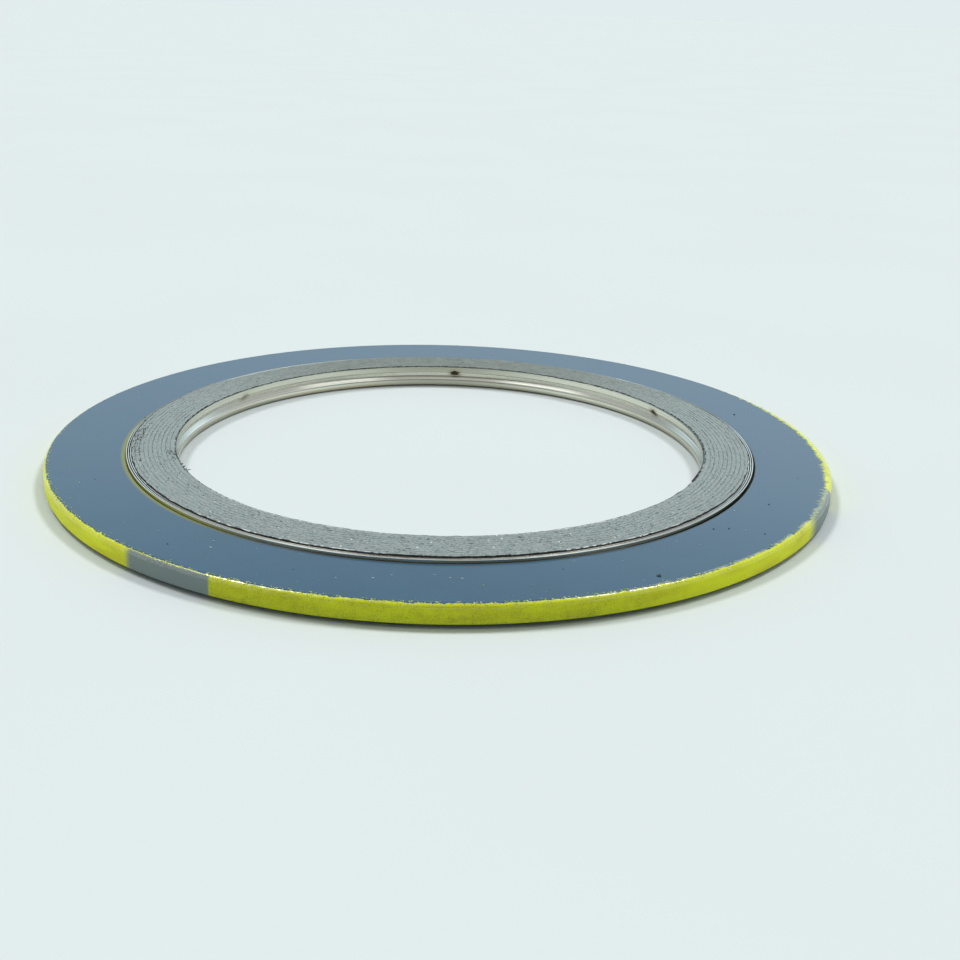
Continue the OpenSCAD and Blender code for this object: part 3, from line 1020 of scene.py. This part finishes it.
# %% Graphite: torn walls against the bare turns
# painted shade: the torn walls against the bare turns are near black
TEAR_SHADE = (0.040, 0.038, 0.036, 1)
FLAKE_GLINT = (0.90, 0.91, 0.92, 1)
torn = node(tree, "ShaderNodeAttribute", attribute_name="torn").outputs["Fac"]
crumbled = noise(tree, spot["Point"], 0.9, 2.0)
at_bore = rise(tree, spot["Radius"], 53.0, 52.8)
tear_shade = larger(tree, rise(tree, crumbled, 0.45, 0.54), minus(tree, 0.9, at_bore))
jagged = times(tree, minus(tree, noise(tree, spot["Point"], 0.4, 2.0), 0.5), 1.2)
tear_shade = times(tree, tear_shade, rise(tree, plus(tree, torn, jagged), 0.38, 0.6))
colour = lay(tree, colour, TEAR_SHADE, tear_shade, 0.95)

# painted glints: near-white flakes that stand up along the torn edge, on both sides of the front
flake_glint = times(tree, rise(tree, torn, 0.12, 0.3), rise(tree, torn, 0.8, 0.5))
flake_glint = times(tree, flake_glint, rise(tree, crumbled, 0.5, 0.58))
for start, end in ((222.0, 262.0), (283.0, 312.0)):
    flake_window = window(tree, spot["Angle"], start, end, 10.0)
    colour = blend(tree, times(tree, flake_glint, flake_window), colour, FLAKE_GLINT)
tell("torn walls", tree)

# %% Graphite: glints
# painted glints: near-white flakes that lie flat in front
GLINT = (0.96, 0.98, 0.98, 1)
flakes = use(tree, speck_group, Spacing=0.7, Size=0.15, Share=0.11)["Mask"]
glints = times(tree, flakes, front_window)
colour = lay(tree, colour, GLINT, glints, 0.95)
tree.links.new(colour, shader.inputs["Base Color"])
tell("glints", tree)

# %% Graphite: sheen and relief
shader.inputs["Metallic"].default_value = 0.42
shader.inputs["Specular IOR Level"].default_value = 0.2
dullness = minus(tree, 0.58, times(tree, glints, 0.1))
dullness = plus(tree, dullness, times(tree, larger(tree, pits, torn), 0.3))
tree.links.new(dullness, shader.inputs["Roughness"])
relief = plus(tree, times(tree, lines, 0.5), times(tree, grain, 0.7))
relief = minus(tree, relief, pits)
bump = node(tree, "ShaderNodeBump", {"Height": relief, "Distance": 0.06 * MM, "Strength": 0.9})
tree.links.new(bump.outputs[0], shader.inputs["Normal"])
graphite_tape.data.materials.append(graphite)
print("graphite:", len(tree.nodes), "nodes")

# %% [markdown]
# ## Crumbs, nibs and drops
#
# Handling leaves small things on a gasket like this: crumbs of graphite stuck to the paint and to the edge
# of the bore, nibs of dust under the blue coat, and droplets of spray inside the yellow edge. A texture
# could draw them, but from low down they stand up and catch the light, so each kind is a mesh of small
# lumps. A lump is a ball of triangles, roughened, flattened, turned and sunk by a quarter into what carries
# it.

# %% Lumps
ball = bmesh.new()
bmesh.ops.create_icosphere(ball, subdivisions=2, radius=1.0)
BALL_POINTS = np.array([point.co for point in ball.verts])
BALL_FACES = np.array([[point.index for point in face.verts] for face in ball.faces])
ball.free()


def lumps(name, places, seed):
    """One mesh of rough lumps. A place is angle, radius and height of what carries it, then the lump's
    length, width and height, and the direction of its length from outwards, in mm and degrees."""
    draw = np.random.default_rng(seed)
    points, faces = [], []
    for angle, radius, floor_z, length, width, height, lean in places:
        swell = draw.uniform(0.8, 1.15, (len(BALL_POINTS), 1))
        rough = BALL_POINTS * swell * (length / 2, width / 2, height / 2)
        turned, around = math.radians(angle + lean), math.radians(angle)
        faces += (BALL_FACES + len(points) * len(BALL_POINTS)).tolist()
        points.append(np.stack([
            rough[:, 0] * math.cos(turned) - rough[:, 1] * math.sin(turned) + radius * math.cos(around),
            rough[:, 0] * math.sin(turned) + rough[:, 1] * math.cos(turned) + radius * math.sin(around),
            rough[:, 2] + floor_z + height / 4,
        ], -1))
    mesh = bpy.data.meshes.new(name)
    mesh.from_pydata((np.concatenate(points) * MM).tolist(), [], faces)
    mesh.shade_smooth()
    piece = bpy.data.objects.new(name, mesh)
    bpy.context.scene.collection.objects.link(piece)
    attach(piece, "root")
    print(name, "has", len(places), "lumps and", len(faces), "triangles")
    return piece


def two_tone(name, size, first, second):
    """Material with blotches of two tones, and its tree and shader."""
    material, tree, shader = new_material(name)
    blotches = noise(tree, use(tree, place_group)["Point"], size)
    colour = blend(tree, rise(tree, blotches, 0.35, 0.65), first, second)
    tree.links.new(colour, shader.inputs["Base Color"])
    return material, tree, shader


# %% Graphite crumbs, and a dark wedge for the shade at the start of the strip
TOP_FACE, TAPE_FACE = ring_high, tape_high - 0.06
BARE_EDGE, BORE_EDGE = strip_high - 0.12, strip_high
crumb_and_shade_places = [
    (297.6, 71.6, TOP_FACE, 0.75, 0.34, 0.22, 50), (297.9, 71.3, TOP_FACE, 0.4, 0.24, 0.16, 120),
    (315.6, 63.3, TOP_FACE, 0.34, 0.26, 0.14, 0), (317.4, 65.0, TOP_FACE, 0.32, 0.26, 0.14, 40),
    (319.2, 70.5, TOP_FACE, 0.3, 0.26, 0.14, 80), (330.4, 65.8, TOP_FACE, 0.3, 0.26, 0.14, 20),
    (232.4, 69.3, TOP_FACE, 0.4, 0.26, 0.14, 70), (18.0, 65.4, TOP_FACE, 0.5, 0.4, 0.18, 10),
    (204.0, 66.5, TOP_FACE, 0.24, 0.2, 0.1, 30), (251.0, 67.2, TOP_FACE, 0.22, 0.2, 0.1, 0),
    (344.0, 68.4, TOP_FACE, 0.24, 0.2, 0.1, 60), (287.0, 64.4, TOP_FACE, 0.22, 0.18, 0.1, 10),
    (198.8, 57.8, TAPE_FACE, 0.8, 0.5, 0.06, 80), (191.0, 58.6, TAPE_FACE, 0.7, 0.3, 0.06, 95),
    (186.5, 58.2, TAPE_FACE, 0.6, 0.3, 0.06, 70), (183.0, 57.7, TAPE_FACE, 0.5, 0.3, 0.06, 100),
    (172.5, 60.1, BARE_EDGE - 0.2, 0.8, 0.3, 0.2, 30), (170.4, 60.0, BARE_EDGE - 0.2, 0.6, 0.25, 0.2, 80),
    (168.0, 60.15, BARE_EDGE - 0.2, 0.9, 0.2, 0.2, 120), (174.6, 59.6, BARE_EDGE - 0.1, 0.7, 0.3, 0.2, 60),
    (176.5, 59.9, BARE_EDGE - 0.2, 0.5, 0.25, 0.2, 10), (165.5, 60.1, BARE_EDGE - 0.2, 0.5, 0.2, 0.2, 90),
    (195.0, 51.9, TAPE_FACE, 0.6, 0.4, 0.06, 40), (196.3, 52.3, TAPE_FACE, 0.5, 0.3, 0.06, 90),
    (197.2, 51.5, TAPE_FACE, 0.7, 0.4, 0.06, 70), (198.6, 51.9, TAPE_FACE, 0.5, 0.3, 0.06, 20),
    (199.8, 51.2, BORE_EDGE + 0.05, 0.6, 0.4, 0.1, 60), (201.4, 51.1, BORE_EDGE + 0.05, 0.7, 0.36, 0.1, 80),
    (203.0, 50.95, BORE_EDGE, 0.5, 0.34, 0.16, 40), (204.6, 50.9, BORE_EDGE, 0.6, 0.34, 0.16, 20),
    (207.0, 50.7, BORE_EDGE, 1.1, 0.14, 0.14, 12), (206.4, 50.95, BORE_EDGE, 0.6, 0.4, 0.16, 60),
    # the last two lumps are a dark wedge that stands in for the shade at the start of the strip
    (337.4, 50.98, BARE_EDGE - 0.1, 2.3, 0.5, 0.4, 84), (339.4, 50.98, BARE_EDGE, 1.2, 0.3, 0.3, 88),
]
draw = np.random.default_rng(61)
BACK_CRUMBS = 70
back_angle = draw.uniform(20, 165, BACK_CRUMBS)
back_size = draw.uniform(0.2, 0.6, BACK_CRUMBS)
crumb_and_shade_places += [(a, 51.0 + 0.1 * draw.random(), BARE_EDGE + 0.06, s, s * 0.5, 0.18, 90)
                 for a, s in zip(back_angle, back_size)]
crumbs_and_shade = lumps("stuck_crumbs_and_start_shade", crumb_and_shade_places, 62)

CRUMB_DARK, CRUMB_PALE = (0.014, 0.014, 0.014, 1), (0.055, 0.050, 0.044, 1)
crumb_dirt_and_shade, tree, shader = two_tone("crumb_dirt_and_shade", 0.2, CRUMB_DARK, CRUMB_PALE)
spot = use(tree, place_group)
crumb_rough = plus(tree, 0.5, times(tree, noise(tree, spot["Point"], 0.1), 0.3))
tree.links.new(crumb_rough, shader.inputs["Roughness"])
crumbs_and_shade.data.materials.append(crumb_dirt_and_shade)

# %% Pale nibs in the blue coat
nib_places = [
    (237.6, 66.2, 0.42), (236.4, 64.1, 0.3), (261.6, 66.8, 0.34), (273.0, 65.7, 0.34), (271.4, 65.6, 0.26),
    (269.4, 64.5, 0.24), (263.8, 65.3, 0.3), (257.0, 67.9, 0.26), (324.6, 61.9, 0.34), (204.6, 69.3, 0.36),
    (281.5, 69.0, 0.24), (318.6, 67.4, 0.3), (228.0, 67.0, 0.22), (309.0, 66.0, 0.22), (296.0, 64.6, 0.2),
]
nib_places = [(a, r, TOP_FACE, 1.35 * s, 0.8 * s, 0.09, 90) for a, r, s in nib_places]
nibs = lumps("pale_nibs", nib_places, 63)

NIB_BLUE, NIB_PALE = (0.24, 0.31, 0.35, 1), (0.62, 0.68, 0.69, 1)
nib_paint, tree, shader = two_tone("nib_paint", 0.15, NIB_BLUE, NIB_PALE)
shader.inputs["Roughness"].default_value = 0.35
nibs.data.materials.append(nib_paint)

# %% Drops of yellow spray
draw = np.random.default_rng(64)
DROPS = 260
in_front = draw.random(DROPS) < 0.7
drop_angle = np.where(in_front, draw.uniform(190, 320, DROPS), draw.uniform(0, 360, DROPS))
near_edge = draw.random(DROPS) < 0.85
edge_drop_radius = 74.1 - abs(draw.normal(0, 0.28, DROPS))
drop_radius = np.where(near_edge, edge_drop_radius, draw.uniform(68, 73.5, DROPS))
drop_size = draw.uniform(0.1, 0.3, DROPS) * np.where(drop_radius < 73, 0.6, 1.0)
drop_places = [(a, r, TOP_FACE, s, s * 0.8, 0.07 + 0.15 * s, 90)
               for a, r, s in zip(drop_angle, drop_radius, drop_size)]
drops = lumps("paint_drops", drop_places, 65)

DROP_YELLOW, DROP_DIRTY = (0.60, 0.78, 0.01, 1), (0.42, 0.50, 0.004, 1)
drop_paint, tree, shader = two_tone("drop_paint", 0.3, DROP_YELLOW, DROP_DIRTY)
shader.inputs["Roughness"].default_value = 0.4
drops.data.materials.append(drop_paint)

# %% [markdown]
# ## Floor and light
#
# The gasket lies on a pale table. Two softboxes hang high to the left and right, a little behind it: they
# give the rim its broken highlight and the dark line of shadow under its front. Sun lamps with a wide disc
# stand for them, because their light stays even over the whole table. The rest is soft light from a pale
# room, brightest behind the gasket and dimmest on the camera's side. The world is a plain gradient of these
# tones, with two pale cards high in front that show as streaks in the polished bore. Near the horizon it
# has the tone of the table, so the background is even.

# %% Floor
FLOOR_TONE, FLOOR_SMEAR = (0.745, 0.795, 0.805, 1), (0.737, 0.785, 0.796, 1)
FLOOR_SIZE = 80.0
bpy.ops.mesh.primitive_plane_add(size=FLOOR_SIZE, location=(0, 0, 0))
floor = bpy.context.object
floor.name = "floor"
floor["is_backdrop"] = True
table_top, tree, shader = new_material("table_top")
smears = node(tree, "ShaderNodeTexNoise", {
    "Vector": node(tree, "ShaderNodeTexCoord").outputs["Object"], "Scale": 9.0, "Detail": 2.0}).outputs["Fac"]
table_tone = blend(tree, rise(tree, smears, 0.35, 0.7), FLOOR_TONE, FLOOR_SMEAR)
tree.links.new(table_tone, shader.inputs["Base Color"])
shader.inputs["Roughness"].default_value = 0.7
shader.inputs["Specular IOR Level"].default_value = 0.0
floor.data.materials.append(table_top)
print("floor:", FLOOR_SIZE, "m wide")

# %% World: walls and ceiling
SIDE_TONE, FRONT_TONE = (0.32, 0.338, 0.342, 1), (0.12, 0.127, 0.127, 1)
WALL_LEFT, WALL_RIGHT, WALL_FOOT = (0.69, 0.86, 0.94, 1), (0.93, 1.13, 1.24, 1), (0.50, 0.61, 0.66, 1)
HIGH_LEFT, HIGH_RIGHT = (0.34, 0.37, 0.385, 1), (0.45, 0.485, 0.50, 1)
END_TONE, CEILING = (0.50, 0.525, 0.52, 1), (0.50, 0.50, 0.47, 1)
world = bpy.data.worlds.new("studio")
bpy.context.scene.world = world
world.use_nodes = True
tree = world.node_tree
tree.nodes.clear()
direction = node(tree, "ShaderNodeTexCoord").outputs["Generated"]
towards = node(tree, "ShaderNodeSeparateXYZ", {0: direction}).outputs
room = blend(tree, rise(tree, towards["Y"], -0.1, -0.75), SIDE_TONE, FRONT_TONE)
back_low = blend(tree, rise(tree, towards["X"], -0.6, 0.6), WALL_LEFT, WALL_RIGHT)
back_low = blend(tree, rise(tree, towards["Z"], 0.32, 0.16), back_low, WALL_FOOT)
back_high = blend(tree, rise(tree, towards["X"], -0.4, 0.4), HIGH_LEFT, HIGH_RIGHT)
back_wall = blend(tree, rise(tree, towards["Z"], 0.33, 0.48), back_low, back_high)
to_the_ends = rise(tree, calc(tree, "ABSOLUTE", towards["X"]), 0.5, 0.75)
room = blend(tree, to_the_ends, room, END_TONE)
room = blend(tree, rise(tree, towards["Y"], 0.2, 0.75), room, back_wall)
room = blend(tree, rise(tree, towards["Z"], 0.76, 0.92), room, CEILING)
tell("walls and ceiling", tree)

# %% World: horizon
# what is seen low down is as pale as the table: behind the gasket for all light, elsewhere for direct
# sight and mirrors
HORIZON = (0.752, 0.840, 0.857, 1)
path = node(tree, "ShaderNodeLightPath").outputs
mirrored = larger(tree, path["Is Glossy Ray"], path["Is Transmission Ray"])
seen = larger(tree, path["Is Camera Ray"], mirrored)
behind = rise(tree, towards["Y"], 0.0, 0.2)
low_behind = times(tree, behind, rise(tree, towards["Z"], 0.07, 0.02))
low_round = times(tree, minus(tree, seen, behind), rise(tree, towards["Z"], 0.36, 0.28))
room = blend(tree, larger(tree, low_behind, low_round), room, HORIZON)
tell("horizon", tree)

# %% World: two pale cards
# they stand in front, and the bore shows them as streaks
CARD_TONE = (1.35, 1.4, 1.37, 1)
CARD_LENGTH, CARD_WIDTH = (0.28, 0.18), (0.10, 0.05)


def off_plane(tree, x, y, z):
    """How far the seen direction lies off the plane square to (x, y, z)."""
    dot = node(tree, "ShaderNodeVectorMath", {0: direction, 1: (x, y, z)}, operation="DOT_PRODUCT")
    return calc(tree, "ABSOLUTE", dot.outputs["Value"])


for side in (-1, 1):
    off_length = off_plane(tree, side * 0.671, 0.700, -0.246)
    off_width = off_plane(tree, side * 0.539, -0.687, -0.484)
    card = times(tree, rise(tree, off_length, *CARD_LENGTH), rise(tree, off_width, *CARD_WIDTH))
    on_side = rise(tree, times(tree, towards["X"], side), -0.1, 0.1)
    card = times(tree, times(tree, card, on_side), rise(tree, towards["Z"], 0.3, 0.5))
    room = blend(tree, card, room, CARD_TONE)
light = node(tree, "ShaderNodeBackground", {"Color": room, "Strength": 1.0})
tree.links.new(light.outputs[0], node(tree, "ShaderNodeOutputWorld").inputs["Surface"])
tell("world", tree)

# %% Softboxes
LAMP_SIDE, LAMP_BACK, LAMP_UP = 0.40, 0.30, 0.866
LAMP_DISC, LAMP_ENERGY, LAMP_TONE = 13, 1.08, (0.97, 1.0, 1.0)
for name, side in (("softbox_left", -1), ("softbox_right", 1)):
    towards_lamp = Vector((side * LAMP_SIDE, LAMP_BACK, LAMP_UP))
    softbox = bpy.data.lights.new(name, "SUN")
    softbox.angle = math.radians(LAMP_DISC)
    softbox.energy = LAMP_ENERGY
    softbox.color = LAMP_TONE
    lamp = bpy.data.objects.new(name, softbox)
    lamp.location = towards_lamp
    lamp.rotation_euler = (-towards_lamp).to_track_quat("-Z", "Y").to_euler()
    bpy.context.scene.collection.objects.link(lamp)
    print(name, softbox.energy, "W/m2,", round(math.degrees(math.asin(towards_lamp.z))), "degrees up")

# %% [markdown]
# ## Finish
#
# The picture's tones are shown as they are, without a film curve. At the end the box of the dressed gasket
# is printed.

# %% Finish
bpy.context.scene.view_settings.view_transform = "Standard"
low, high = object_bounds()
print("dressed box in mm:", [round(v / MM, 2) for v in (*low, *high)])
